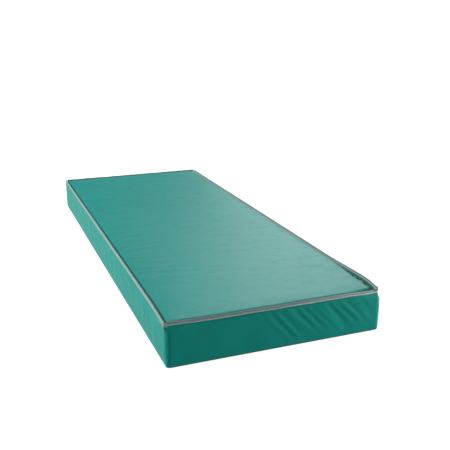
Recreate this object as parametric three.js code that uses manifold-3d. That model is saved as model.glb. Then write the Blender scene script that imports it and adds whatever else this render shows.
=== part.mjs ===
// Pressure relief mattress for a hospital bed: a foam core in a zipped, wipe-clean cover.
// Millimetres, +Z up, +Y towards the head end, +X towards the right-hand side as seen from the
// foot end. The origin is on the surface it lies on, under the middle of the mattress.

import * as THREE from 'three';
import { mergeVertices } from 'three/addons/utils/BufferGeometryUtils.js';
import Module from 'manifold-3d';

const wasm = await Module();
wasm.setup();

// Driving dimensions.
const LENGTH = 1980;
const WIDTH = 760;
const HEIGHT = 152;           // to the top of the edge binding
const GAP = 0.3;              // clearance between neighbouring pieces
const FABRIC = 1.4;           // coated cover fabric
const BASE_FABRIC = 1.2;      // non-slip fabric of the underside
const BASE_INSET = 2;         // its cut edges, in from the sides that the zip runs along
const HALF_X = WIDTH / 2;
const HALF_Y = LENGTH / 2;

// The zip runs round three sides at this height. On the right-hand side the cover isn't cut
// there: the seam is the fold line that the opened cover turns about.
const SEAM_Z = 12;
const FLAP_Z = 2;             // lower edge of the borders that hang in front of the zip

// Edge trim: a piping bead, and a binding tape that stands above it.
const BEAD_RADIUS = 3.5;
const BEAD_INSET = 3.6;       // bead's centre line in from the side of the mattress
const BEAD_Z = HEIGHT - 10.3;
const BINDING_THICKNESS = 2;
const BORDER_TOP = BEAD_Z - BEAD_RADIUS - GAP;
const BINDING_BOTTOM = BEAD_Z + BEAD_RADIUS + GAP;

// The right-hand trim stands up into a lip where it nears the foot end.
const LIP_RISE = 6;
const LIP_START_Y = -640;
const LIP_END_Y = -860;
const LIP_STEPS = 16;

// Top panel.
const PANEL_Z = HEIGHT - 8.8;
const PANEL_INSET = BEAD_INSET + BEAD_RADIUS + GAP;

// Zip, measured inwards from the side of the mattress.
const CHAIN_END_X = HALF_X - 16;
const COIL_INSET = 6.1;
const COIL_DEPTH = 2.5;
const COIL_HEIGHT = 3;
const COIL_GAP = 0.6;         // half the slit that the slider's post runs in
const TAPE_INSET = 6.9;
const TAPE_THICKNESS = 0.9;
const UPPER_TAPE_TOP = 26;
const UPPER_FLANGE_INSET = 1.7;
const LOWER_FLANGE_INSET = 2.2;
const COIL_CORNER = 4;
const FLANGE_CORNER = 16.3;

// Slider, parked against the stop at the right-hand end of the head side.
const SLIDER_X = HALF_X - 22.5;
const SLIDER_LENGTH = 12;
const SLIDER_WIDTH = 9;
const SLIDER_PLATE = 0.8;
const SLIDER_CLEARANCE = 0.4;
const PLATE_CORNER = 2.5;
const POST_LENGTH = 4;
const POST_THICKNESS = 1;
const POST_INSET = 1;         // from the right-hand end of the plates
const LUG_LENGTH = 5;
const LUG_HEIGHT = 3;
const LUG_CHEEK = 0.9;
const LUG_OPENING = 4;
const PIN_RADIUS = 0.6;
const PIN_OFFSET = 1.65;      // pin's centre line out from the outer plate
const EYE_RADIUS = 1.4;
const PULL_LENGTH = 30;
const PULL_WIDTH = 7;
const PULL_THICKNESS = 1.2;
const NECK_WIDTH = 3.4;
const NECK_LENGTH = 4;
const NECK_OVERLAP = 0.6;     // of the pull's neck and its tongue
const STOP_LENGTH = 4;

// Lower edge of the head border. It stops above the zip, so that the slider can be reached.
const HEAD_EDGE_Z = 21;

// Foam core. It sits closer to the fold line than to the zip, so that the cover swings clear.
const CORE_LEFT = 19 - HALF_X;
const CORE_RIGHT = HALF_X - 11;
const CORE_HALF_Y = HALF_Y - 10.5;
const CORE_BOTTOM = BASE_FABRIC + GAP;
const CORE_TOP = HEIGHT - 9.5;
const SLAB_HEIGHT = 60;
const RAIL_WIDTH = 70;
const RAIL_EDGE_RADIUS = 25;
const ARC_STEPS = 8;
const BEAD_SIDES = 6;
const PIN_SIDES = 16;
const WELD = 1e-4;

// Castellated inserts, from the foot end: zone length, and cells across and along.
const GROOVE_WIDTH = 6;
const GROOVE_DEPTH = 45;
const ZONES = [
  { name: 'insert_heel', length: 560, across: 6, along: 5 },
  { name: 'insert_torso', length: 700, across: 6, along: 6 },
  { name: 'insert_head', length: 557.8, across: 4, along: 4 },
];

const AXIS_X = new THREE.Vector3(1, 0, 0);
const AXIS_Y = new THREE.Vector3(0, 1, 0);
const AXIS_Z = new THREE.Vector3(0, 0, 1);

function finish(color, roughness, metalness = 0) {
  return new THREE.MeshStandardMaterial({ color, roughness, metalness });
}

const MATERIALS = {
  cover: finish(0x2f9688, 0.45),
  base: finish(0x1d5f58, 0.75),
  piping: finish(0xa3b9b6, 0.5),
  binding: finish(0x7b9390, 0.6),
  zip: finish(0x2a7f74, 0.6),
  metal: finish(0xb4b8ba, 0.3, 1),
  firmFoam: finish(0xc3ced4, 0.95),
  railFoam: finish(0xd9cfae, 0.95),
  softFoam: finish(0xefe8d4, 0.95),
};

const group = new THREE.Group();

function addPart(name, geometry, material) {
  const mesh = new THREE.Mesh(geometry, material.clone());
  mesh.name = name;
  group.add(mesh);
}

// A box given by its low and high values along X, Y and Z.
function block([x0, x1], [y0, y1], [z0, z1]) {
  const geometry = new THREE.BoxGeometry(x1 - x0, y1 - y0, z1 - z0);
  return geometry.translate((x0 + x1) / 2, (y0 + y1) / 2, (z0 + z1) / 2);
}

function extrude(shape, depth, curveSegments = ARC_STEPS) {
  return new THREE.ExtrudeGeometry(shape, { depth, bevelEnabled: false, curveSegments });
}

// Extrudes a shape drawn in Y and Z along X, from x0 to x1.
function extrudeAlongX(shape, x0, x1) {
  const turned = new THREE.Matrix4().makeBasis(AXIS_Y, AXIS_Z, AXIS_X);
  return extrude(shape, x1 - x0).applyMatrix4(turned).translate(x0, 0, 0);
}

// Extrudes a shape drawn in X and Z along Y, from y0 to y1.
function extrudeAlongY(shape, y0, y1) {
  const turned = new THREE.Matrix4().makeBasis(AXIS_X, AXIS_Z, AXIS_Y.clone().negate());
  return extrude(shape, y1 - y0).applyMatrix4(turned).translate(0, y1, 0);
}

function toSolid(geometry) {
  const bare = geometry.clone();
  bare.deleteAttribute('normal');
  bare.deleteAttribute('uv');
  const merged = mergeVertices(bare, WELD);
  const vertProperties = new Float32Array(merged.attributes.position.array);
  const triVerts = new Uint32Array(merged.index.array);
  return new wasm.Manifold(new wasm.Mesh({ numProp: 3, vertProperties, triVerts }));
}

function toGeometry(solid) {
  const mesh = solid.getMesh();
  const geometry = new THREE.BufferGeometry();
  geometry.setAttribute('position', new THREE.BufferAttribute(mesh.vertProperties, 3));
  geometry.setIndex(new THREE.BufferAttribute(mesh.triVerts, 1));
  geometry.computeVertexNormals();
  return geometry;
}

function join(...geometries) {
  return toGeometry(geometries.map(toSolid).reduce((all, next) => all.add(next)));
}

function cut(geometry, ...tools) {
  return toGeometry(tools.map(toSolid).reduce((left, tool) => left.subtract(tool), toSolid(geometry)));
}

// How far the right-hand trim stands above the rest, at a place along the mattress.
function lipRise(y) {
  return LIP_RISE * THREE.MathUtils.smoothstep(-y, -LIP_START_Y, -LIP_END_Y);
}

// Places along the right-hand side, close together where the lip rises.
function lipPlaces(endY) {
  const places = [endY, LIP_START_Y];
  for (let step = 1; step <= LIP_STEPS; step += 1) {
    places.push(THREE.MathUtils.lerp(LIP_START_Y, -endY, step / LIP_STEPS));
  }
  return places;
}

// A strip on the right-hand side, in Y and Z, whose top edge follows the lip.
function lipStrip(endY, bottom, top, bottomFollows) {
  const places = lipPlaces(endY);
  const shape = new THREE.Shape();
  shape.moveTo(places[0], top);
  places.slice(1).forEach((y) => shape.lineTo(y, top + lipRise(y)));
  if (bottomFollows) {
    places.slice(1).reverse().forEach((y) => shape.lineTo(y, bottom + lipRise(y)));
  } else {
    shape.lineTo(-endY, bottom);
  }
  shape.lineTo(endY, bottom);
  return shape;
}

// A round bead along a line of points.
function bead(points, steps) {
  const section = new THREE.Shape().absarc(0, 0, BEAD_RADIUS, 0, 2 * Math.PI);
  const path = points.length > 2 ? new THREE.CatmullRomCurve3(points) : new THREE.LineCurve3(...points);
  return new THREE.ExtrudeGeometry(section, { steps, extrudePath: path, curveSegments: BEAD_SIDES });
}

// A band in plan round the head, left and foot sides, standing from z0 to z1. Its insets are
// measured from the side of the mattress to its outer and inner faces.
function zipBand(outerInset, innerInset, outerRadius, innerRadius, z0, z1) {
  const shape = new THREE.Shape();
  const outer = { x: HALF_X - outerInset, y: HALF_Y - outerInset, r: outerRadius };
  const inner = { x: HALF_X - innerInset, y: HALF_Y - innerInset, r: innerRadius };
  const quarter = Math.PI / 2;
  shape.moveTo(CHAIN_END_X, outer.y);
  shape.absarc(-outer.x + outer.r, outer.y - outer.r, outer.r, quarter, 2 * quarter, false);
  shape.absarc(-outer.x + outer.r, -outer.y + outer.r, outer.r, 2 * quarter, 3 * quarter, false);
  shape.lineTo(CHAIN_END_X, -outer.y);
  shape.lineTo(CHAIN_END_X, -inner.y);
  shape.absarc(-inner.x + inner.r, -inner.y + inner.r, inner.r, 3 * quarter, 2 * quarter, true);
  shape.absarc(-inner.x + inner.r, inner.y - inner.r, inner.r, 2 * quarter, quarter, true);
  shape.lineTo(CHAIN_END_X, inner.y);
  return extrude(shape, z1 - z0).translate(0, 0, z0);
}

// One half of the zip: its coil row, its tape, and the hem that the tape is sewn to.
function zipHalf(coilZ, tapeZ, flangeZ, flangeInset) {
  const coilInner = COIL_INSET + COIL_DEPTH;
  const tapeInner = TAPE_INSET + TAPE_THICKNESS;
  const coilRadius = COIL_CORNER + COIL_DEPTH;
  const tapeRadius = COIL_CORNER + TAPE_THICKNESS;
  return join(
    zipBand(COIL_INSET, coilInner, coilRadius, COIL_CORNER, ...coilZ),
    zipBand(TAPE_INSET, tapeInner, tapeRadius, COIL_CORNER, ...tapeZ),
    zipBand(flangeInset, tapeInner, FLANGE_CORNER, COIL_CORNER, ...flangeZ),
  );
}

function makeZip() {
  const upperCoil = [SEAM_Z + COIL_GAP, SEAM_Z + COIL_GAP + COIL_HEIGHT];
  const lowerCoil = [SEAM_Z - COIL_GAP - COIL_HEIGHT, SEAM_Z - COIL_GAP];
  const upperTape = [upperCoil[1] - BASE_FABRIC, UPPER_TAPE_TOP];
  const lowerTape = [CORE_BOTTOM, lowerCoil[0] + BASE_FABRIC];
  const upperFlange = [UPPER_TAPE_TOP - FABRIC, UPPER_TAPE_TOP];
  const lowerFlange = [CORE_BOTTOM, CORE_BOTTOM + BASE_FABRIC];
  addPart('zip_tape_upper', zipHalf(upperCoil, upperTape, upperFlange, UPPER_FLANGE_INSET), MATERIALS.zip);
  addPart('zip_tape_lower', zipHalf(lowerCoil, lowerTape, lowerFlange, LOWER_FLANGE_INSET), MATERIALS.zip);

  const coilY = [HALF_Y - COIL_INSET - COIL_DEPTH, HALF_Y - COIL_INSET];
  const stopX = [CHAIN_END_X + GAP, CHAIN_END_X + GAP + STOP_LENGTH];
  const stopZ = [lowerCoil[0], upperCoil[1]];
  addPart('zip_stop_head', block(stopX, coilY, stopZ), MATERIALS.metal);
  addPart('zip_stop_foot', block(stopX, [-coilY[1], -coilY[0]], stopZ), MATERIALS.metal);
  makeSlider(coilY);
}

// A rounded plate of the slider, in X and Z.
function sliderPlate(y0, y1) {
  const [x, z] = [SLIDER_LENGTH / 2 - PLATE_CORNER, SLIDER_WIDTH / 2 - PLATE_CORNER];
  const quarter = Math.PI / 2;
  const shape = new THREE.Shape();
  shape.absarc(SLIDER_X + x, SEAM_Z + z, PLATE_CORNER, 0, quarter, false);
  shape.absarc(SLIDER_X - x, SEAM_Z + z, PLATE_CORNER, quarter, 2 * quarter, false);
  shape.absarc(SLIDER_X - x, SEAM_Z - z, PLATE_CORNER, 2 * quarter, 3 * quarter, false);
  shape.absarc(SLIDER_X + x, SEAM_Z - z, PLATE_CORNER, 3 * quarter, 4 * quarter, false);
  return extrudeAlongY(shape, y0, y1);
}

// The slider's plates lie inside and outside the coils, on a post that runs between them. The
// outer plate carries a lug, whose upright pin holds the pull.
function makeSlider(coilY) {
  const inner = [coilY[0] - SLIDER_CLEARANCE - SLIDER_PLATE, coilY[0] - SLIDER_CLEARANCE];
  const outer = [coilY[1] + SLIDER_CLEARANCE, coilY[1] + SLIDER_CLEARANCE + SLIDER_PLATE];
  const overlap = SLIDER_PLATE / 2;
  const postEnd = SLIDER_X + SLIDER_LENGTH / 2 - POST_INSET;
  const postX = [postEnd - POST_LENGTH, postEnd];
  const postZ = [SEAM_Z - POST_THICKNESS / 2, SEAM_Z + POST_THICKNESS / 2];
  const lugX = [SLIDER_X - LUG_LENGTH / 2, SLIDER_X + LUG_LENGTH / 2];
  const lugY = [outer[1] - overlap, outer[1] + LUG_HEIGHT];
  const cheek = LUG_OPENING / 2;
  const pinY = outer[1] + PIN_OFFSET;
  const pinLength = LUG_OPENING + LUG_CHEEK;
  const pin = new THREE.CylinderGeometry(PIN_RADIUS, PIN_RADIUS, pinLength, PIN_SIDES);
  addPart('zip_slider', join(
    sliderPlate(...inner),
    sliderPlate(...outer),
    block(postX, [inner[1] - overlap, outer[0] + overlap], postZ),
    block(lugX, lugY, [SEAM_Z + cheek, SEAM_Z + cheek + LUG_CHEEK]),
    block(lugX, lugY, [SEAM_Z - cheek - LUG_CHEEK, SEAM_Z - cheek]),
    pin.rotateX(Math.PI / 2).translate(SLIDER_X, pinY, SEAM_Z),
  ), MATERIALS.metal);
  makePull(pinY);
}

// The pull lies flat along the zip, turned back towards the left.
function makePull(pinY) {
  const upright = (radius, height) => (
    new THREE.CylinderGeometry(radius, radius, height, PIN_SIDES).rotateX(Math.PI / 2)
  );
  const eye = upright(EYE_RADIUS, NECK_WIDTH);
  const bore = upright(PIN_RADIUS + GAP, 2 * NECK_WIDTH);
  const flat = [pinY - PULL_THICKNESS / 2, pinY + PULL_THICKNESS / 2];
  const neckX = [SLIDER_X - NECK_LENGTH, SLIDER_X];
  const neckZ = [SEAM_Z - NECK_WIDTH / 2, SEAM_Z + NECK_WIDTH / 2];

  const tipRadius = PULL_WIDTH / 2;
  const tipX = SLIDER_X - PULL_LENGTH + tipRadius;
  const tongue = new THREE.Shape();
  tongue.moveTo(neckX[0] + NECK_OVERLAP, SEAM_Z - NECK_WIDTH / 2);
  tongue.lineTo(neckX[0] + NECK_OVERLAP, SEAM_Z + NECK_WIDTH / 2);
  tongue.absarc(tipX, SEAM_Z, tipRadius, Math.PI / 2, 1.5 * Math.PI, false);
  const hole = new THREE.Path();
  hole.absarc(tipX, SEAM_Z, tipRadius / 2, 0, 2 * Math.PI, true);
  tongue.holes.push(hole);

  const body = join(
    eye.translate(SLIDER_X, pinY, SEAM_Z),
    block(neckX, flat, neckZ),
    extrudeAlongY(tongue, ...flat),
  );
  addPart('zip_pull', cut(body, bore.translate(SLIDER_X, pinY, SEAM_Z)), MATERIALS.metal);
}

// Underside of the cover. Its right-hand edge turns up to the fold line.
function makeBase() {
  const rangeY = [-HALF_Y + BASE_INSET, HALF_Y - BASE_INSET];
  const sheet = block([-HALF_X + BASE_INSET, HALF_X], rangeY, [0, BASE_FABRIC]);
  const upturn = block([HALF_X - FABRIC, HALF_X], rangeY, [0, SEAM_Z - GAP]);
  addPart('base_panel', join(sheet, upturn), MATERIALS.base);
}

function makeBorders() {
  const endX = HALF_X - FABRIC - GAP;
  const left = [-HALF_X, -HALF_X + FABRIC];
  const footY = [-HALF_Y, -HALF_Y + FABRIC];
  addPart('border_left', block(left, [-HALF_Y, HALF_Y], [FLAP_Z, BORDER_TOP]), MATERIALS.cover);
  addPart('border_foot', block([-endX, endX], footY, [FLAP_Z, BORDER_TOP]), MATERIALS.cover);

  const right = lipStrip(HALF_Y, SEAM_Z + GAP, BORDER_TOP, false);
  addPart('border_right', extrudeAlongX(right, HALF_X - FABRIC, HALF_X), MATERIALS.cover);

  const headY = [HALF_Y - FABRIC, HALF_Y];
  addPart('border_head', block([-endX, endX], headY, [HEAD_EDGE_Z, BORDER_TOP]), MATERIALS.cover);
}

function makeTrim() {
  const sideX = HALF_X - BEAD_INSET;
  const sideY = HALF_Y - BEAD_INSET;
  const sideEnd = HALF_Y - GAP;
  const crossEnd = sideX - BEAD_RADIUS - GAP;
  const at = (x, y, rise = 0) => new THREE.Vector3(x, y, BEAD_Z + rise);
  const rightPoints = lipPlaces(sideEnd).map((y) => at(sideX, y, lipRise(y)));
  addPart('piping_left', bead([at(-sideX, -sideEnd), at(-sideX, sideEnd)], 1), MATERIALS.piping);
  addPart('piping_right', bead(rightPoints, 4 * LIP_STEPS), MATERIALS.piping);
  addPart('piping_foot', bead([at(-crossEnd, -sideY), at(crossEnd, -sideY)], 1), MATERIALS.piping);
  addPart('piping_head', bead([at(-crossEnd, sideY), at(crossEnd, sideY)], 1), MATERIALS.piping);

  const half = BINDING_THICKNESS / 2;
  const height = [BINDING_BOTTOM, HEIGHT];
  const left = [-sideX - half, -sideX + half];
  const acrossX = [-crossEnd, crossEnd];
  addPart('binding_left', block(left, [-sideEnd, sideEnd], height), MATERIALS.binding);
  addPart('binding_foot', block(acrossX, [-sideY - half, -sideY + half], height), MATERIALS.binding);
  addPart('binding_head', block(acrossX, [sideY - half, sideY + half], height), MATERIALS.binding);
  const right = lipStrip(sideEnd, ...height, true);
  addPart('binding_right', extrudeAlongX(right, sideX - half, sideX + half), MATERIALS.binding);
}

function makeTopPanel() {
  const x = HALF_X - PANEL_INSET;
  const y = HALF_Y - PANEL_INSET;
  addPart('top_panel', block([-x, x], [-y, y], [PANEL_Z, PANEL_Z + FABRIC]), MATERIALS.cover);
}

// Section of an edge rail: upright sides, with its outer top edge rounded. `outward` is +1
// where the outer side is the high one.
function railSection(outer, outward) {
  const inner = outer - outward * RAIL_WIDTH;
  const bottom = CORE_BOTTOM + SLAB_HEIGHT + GAP;
  const centre = outer - outward * RAIL_EDGE_RADIUS;
  const shape = new THREE.Shape();
  shape.moveTo(inner, bottom);
  shape.lineTo(outer, bottom);
  const start = outward > 0 ? 0 : Math.PI;
  const top = CORE_TOP - RAIL_EDGE_RADIUS;
  shape.absarc(centre, top, RAIL_EDGE_RADIUS, start, Math.PI / 2, outward < 0);
  shape.lineTo(inner, CORE_TOP);
  return shape;
}

// A firm slab, four edge rails that frame it, and the castellated inserts in the frame.
function makeCore() {
  const railBottom = CORE_BOTTOM + SLAB_HEIGHT + GAP;
  const insideX = [CORE_LEFT + RAIL_WIDTH + GAP, CORE_RIGHT - RAIL_WIDTH - GAP];
  const fullY = [-CORE_HALF_Y, CORE_HALF_Y];
  const slab = block([CORE_LEFT, CORE_RIGHT], fullY, [CORE_BOTTOM, CORE_BOTTOM + SLAB_HEIGHT]);
  addPart('base_foam', slab, MATERIALS.firmFoam);
  addPart('rail_left', extrudeAlongY(railSection(CORE_LEFT, -1), ...fullY), MATERIALS.railFoam);
  addPart('rail_right', extrudeAlongY(railSection(CORE_RIGHT, 1), ...fullY), MATERIALS.railFoam);
  addPart('rail_foot', extrudeAlongX(railSection(-CORE_HALF_Y, -1), ...insideX), MATERIALS.railFoam);
  addPart('rail_head', extrudeAlongX(railSection(CORE_HALF_Y, 1), ...insideX), MATERIALS.railFoam);

  let y = -CORE_HALF_Y + RAIL_WIDTH + GAP;
  ZONES.forEach(({ name, length, across, along }) => {
    const zoneY = [y, y + length];
    addPart(name, castellated(insideX, zoneY, [railBottom, CORE_TOP], across, along), MATERIALS.softFoam);
    y += length + GAP;
  });
}

// A block whose top is cut into separate cells by two sets of grooves.
function castellated(rangeX, rangeY, rangeZ, across, along) {
  const depth = [rangeZ[1] - GROOVE_DEPTH, rangeZ[1] + GROOVE_WIDTH];
  const past = ([low, high]) => [low - GROOVE_WIDTH, high + GROOVE_WIDTH];
  const grooveAt = ([low, high], count, index) => {
    const centre = THREE.MathUtils.lerp(low, high, index / count);
    return [centre - GROOVE_WIDTH / 2, centre + GROOVE_WIDTH / 2];
  };
  const grooves = [];
  for (let column = 1; column < across; column += 1) {
    grooves.push(block(grooveAt(rangeX, across, column), past(rangeY), depth));
  }
  for (let row = 1; row < along; row += 1) {
    grooves.push(block(past(rangeX), grooveAt(rangeY, along, row), depth));
  }
  return cut(block(rangeX, rangeY, rangeZ), ...grooves);
}

makeBase();
makeZip();
makeCore();
makeBorders();
makeTrim();
makeTopPanel();

export default group;
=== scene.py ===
"""Looks of a pressure relief mattress: a piped, coated cover, zipped on three sides, over a foam core.

Metres, +Z up, +Y towards the head end, +X towards the right-hand side seen from the foot end.
"""

import math

import bpy
import numpy as np
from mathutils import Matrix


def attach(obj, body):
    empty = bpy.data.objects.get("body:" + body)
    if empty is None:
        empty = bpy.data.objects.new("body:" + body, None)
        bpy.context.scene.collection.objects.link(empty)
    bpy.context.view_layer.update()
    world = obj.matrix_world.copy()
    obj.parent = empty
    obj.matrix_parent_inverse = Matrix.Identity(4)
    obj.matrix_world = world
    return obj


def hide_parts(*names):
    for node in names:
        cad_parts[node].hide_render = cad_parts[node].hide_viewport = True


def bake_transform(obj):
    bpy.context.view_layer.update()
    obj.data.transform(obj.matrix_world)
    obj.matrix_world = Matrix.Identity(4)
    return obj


UP = np.array([0, 0, 1.0])

# The mattress.
HALF_X = 0.380
HALF_Y = 0.990
FABRIC = 0.0008
INNER_PLY = 0.0006
SEAM_Z = 0.012

# Edge trim.
BEAD_RADIUS = 0.0035
TRIM_INSET = 0.0036
BEAD_Z = 0.1417
BINDING_BOTTOM = 0.1452
BINDING_TOP = 0.1519
BINDING_THICKNESS = 0.0024
LONG_TRIM_END = 0.9897
CROSS_TRIM_END = 0.3692
TRIM_ENDS = {"left": LONG_TRIM_END, "right": LONG_TRIM_END,
             "foot": CROSS_TRIM_END, "head": CROSS_TRIM_END}

# The seam allowances inside the cover stop this much short of the trim's ends.
SEAM_END_CUT = 0.006

# The right-hand trim stands up into a lip where it nears the foot end.
LIP_RISE = 0.006
LIP_START = 0.640
LIP_END = 0.860

# The foot end's trim sags by this much towards its right-hand end.
FOOT_DIP = 0.003

# The cover's top corners at the foot end are distorted: drawn in on the right, flared on the left.
CORNER_DRAWS = (
    {"corner": (HALF_X, -HALF_Y), "shift": (-0.010, 0.004, 0.0), "reach": 0.055, "from_z": 0.112},
    {"corner": (-HALF_X, -HALF_Y), "shift": (-0.006, -0.001, 0.004), "reach": 0.090, "from_z": 0.118},
)

# Top panel.
PANEL_X = 0.3728
PANEL_Y = 0.9828
PANEL_EDGE_Z = 0.1432
PANEL_CROWN = 0.0080
PANEL_SOFTNESS = {"left": 0.012, "right": 0.007, "foot": 0.003, "head": 0.006}
CLOTH_STEP = 0.008

# How high the folds stand, and how deep the one pucker of the left border is.
PULL_LINE_HEIGHT = 0.0034
TOP_CREASE_HEIGHT = 0.0010
FOOT_FOLD_HEIGHT = 0.0030
LONG_FOLD_HEIGHT = 0.0017
PUCKER_DEPTH = 0.0036

# Base panel.
BASE_INSET = 0.0022
BASE_TOP = 0.00105
BASE_THICKNESS = 0.001

# Borders. A border is a little proud of the side in the middle and drawn in at its seams.
BORDER_BOTTOM = 0.0024
HEAD_BORDER_BOTTOM = 0.0212
RIGHT_BORDER_BOTTOM = SEAM_Z + 0.0003
BORDER_TOP = 0.1384
CORNER_RADIUS = 0.016
CORNER_COLUMNS = 6

# Zip. A tape's edge lies behind its coil row, and its flange is sewn under the fabric.
CHAIN_END_X = 0.364
COIL_INSET = 0.0061
COIL_DEPTH = 0.0025
COIL_HEIGHT = 0.003
COIL_GAP = 0.0006
COIL_PITCH = 0.0022
COIL_STEPS = 3
TAPE_INSET = 0.0069
TAPE_THICKNESS = 0.0009
TAPE_LAP = 0.0018
ZIP_HALVES = {
    "upper": {"side": 1, "flange_z": 0.0258, "flange_inset": 0.0022, "body": "upper_cover"},
    "lower": {"side": -1, "flange_z": 0.0017, "flange_inset": 0.0026, "body": "core_and_base"},
}

# Foam core.
CORE_BOTTOM = 0.0015
CORE_TOP = 0.1425
CORE_LEFT = -0.361
CORE_RIGHT = 0.369
CORE_HALF_Y = 0.9795
SLAB_TOP = 0.0615
RAIL_WIDTH = 0.070
RAIL_EDGE_RADIUS = 0.025
FOAM_GAP = 0.0003
GROOVE_WIDTH = 0.006
GROOVE_DEPTH = 0.045
INSERTS = {
    "insert_heel": {"length": 0.560, "across": 6, "along": 5},
    "insert_torso": {"length": 0.700, "across": 6, "along": 6},
    "insert_head": {"length": 0.5578, "across": 4, "along": 4},
}

# Camera: its place, lens, and how far it looks down and to the right, in degrees.
CAMERA_PLACE = (-0.876, -2.766, 1.033)
CAMERA_LENS = 53.92
CAMERA_DOWN = 17.29
CAMERA_RIGHT = 21.17

# Lights. Azimuth 0 is towards +Y and 90 towards +X.
LIGHTS = {
    "key": {"azimuth": -76, "elevation": 40, "distance": 7.0, "size": 4.0, "power": 1500},
    "sheen": {"azimuth": 36, "elevation": 32, "distance": 6.0, "size": 2.6, "power": 205},
    "far": {"azimuth": 0, "elevation": 50, "distance": 2.6, "size": 1.2, "power": 12},
    "side": {"azimuth": 120, "elevation": 7, "distance": 3.0, "size": 0.6, "power": 230},
}

# The studio's floor lies a hair under the mattress.
FLOOR_HALF = 60.0
FLOOR_Z = -0.0002

# Each side of the mattress: the direction along it, the direction out of it, and its half sizes.
SIDES = {
    "foot": {"along": (1, 0), "out": (0, -1), "half": HALF_X, "depth": HALF_Y},
    "right": {"along": (0, 1), "out": (1, 0), "half": HALF_Y, "depth": HALF_X},
    "head": {"along": (-1, 0), "out": (0, 1), "half": HALF_X, "depth": HALF_Y},
    "left": {"along": (0, -1), "out": (-1, 0), "half": HALF_Y, "depth": HALF_X},
}


# ---------------- shape helpers


def smoothstep(value, low, high):
    t = np.clip((value - low) / (high - low), 0, 1)
    return t * t * (3 - 2 * t)


def bell(value, width):
    return np.exp(-((value / width) ** 2))


def lip_rise(y):
    """How far the right-hand trim stands above the rest at a place along the mattress."""
    return LIP_RISE * smoothstep(-y, LIP_START, LIP_END)


def foot_dip(x):
    """The height of the foot end's trim at a place across the mattress, from its usual height."""
    return -FOOT_DIP * smoothstep(x, 0.24, 0.36)


LIFTS = {"right": lip_rise, "foot": foot_dip}


def draw_corners(points):
    """Moves a cover piece's points with the two distorted top corners at the foot end."""
    points = np.array(points, float)
    for draw in CORNER_DRAWS:
        x, y = draw["corner"]
        distance = np.hypot(points[..., 0] - x, points[..., 1] - y)
        share = bell(distance, draw["reach"]) * smoothstep(points[..., 2], draw["from_z"], BORDER_TOP)
        points += share[..., None] * np.array(draw["shift"])
    return points


def ripples(a, b, seed, size, count=7):
    """Smooth seeded noise, mostly between -1 and 1, with waves of about the given size. A line's
    points have only the one coordinate a, and b is 0."""
    rng = np.random.default_rng(seed)
    total = np.zeros(np.broadcast(a, b).shape)
    for _ in range(count):
        angle, phase = rng.uniform(0, 2 * math.pi, 2)
        rate = 2 * math.pi / (size * rng.uniform(0.6, 1.6))
        total += np.sin(rate * (a * math.cos(angle) + b * math.sin(angle)) + phase)
    return total * 1.7 / count


def crease(a, b, start, angle, length, width):
    """One soft crease of height 1: a ridge with a shallow valley beside it, fading towards both ends."""
    da, db = a - start[0], b - start[1]
    along = (da * math.cos(angle) + db * math.sin(angle)) / length
    across = (db * math.cos(angle) - da * math.sin(angle)) / width
    window = np.sin(math.pi * np.clip(along, 0, 1)) ** 0.7
    return window * (bell(across, 1) - 0.6 * bell(across - 1.5, 1))


def points_from(*coordinates):
    """Points from their coordinates, each an array or one number for all of them."""
    return np.stack(np.broadcast_arrays(*coordinates), -1)


def spaced(half, edge_steps, step):
    """Places from -half to half: close together at the ends, then evenly spaced."""
    edge = np.array(edge_steps)
    inner = half - edge[-1]
    count = max(2, round(2 * inner / step))
    middle = np.linspace(-inner, inner, count + 1)
    return np.concatenate([-half + edge[:-1], middle, half - edge[:-1][::-1]])


def make_mesh(name, points, faces, *materials, uv=None, sharp_angle=None):
    """A smooth-shaded object from points, faces and, if given, a UV pair for each point."""
    mesh = bpy.data.meshes.new(name)
    mesh.from_pydata(np.reshape(points, (-1, 3)).tolist(), [], faces)
    if uv is not None:
        layer = mesh.uv_layers.new(name="UVMap")
        loops = np.zeros(len(mesh.loops), np.int32)
        mesh.loops.foreach_get("vertex_index", loops)
        layer.data.foreach_set("uv", np.reshape(uv, (-1, 2)).astype(np.float32)[loops].ravel())
    mesh.shade_smooth()
    if sharp_angle is not None:
        mesh.set_sharp_from_angle(angle=math.radians(sharp_angle))
    obj = bpy.data.objects.new(name, mesh)
    bpy.context.scene.collection.objects.link(obj)
    for material in materials:
        mesh.materials.append(material)
    return obj


def grid_faces(rows, columns, flip=False, closed=False):
    """Quads of a grid of points stored row by row. closed joins the last column to the first."""
    r = np.arange(rows - 1)[:, None] * columns
    c = np.arange(columns if closed else columns - 1)
    following = (c + 1) % columns
    quads = np.stack([r + c, r + following, r + columns + following, r + columns + c], -1)
    quads = quads.reshape(-1, 4)
    return (quads[:, ::-1] if flip else quads).tolist()


def solidify(obj, thickness, inner_material=0, offset=-1):
    """Gives a sheet its thickness behind its faces, or in front of them when offset is 1."""
    modifier = obj.modifiers.new("thickness", "SOLIDIFY")
    modifier.thickness = thickness
    modifier.offset = offset
    modifier.material_offset = inner_material
    modifier.use_even_offset = False


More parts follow.
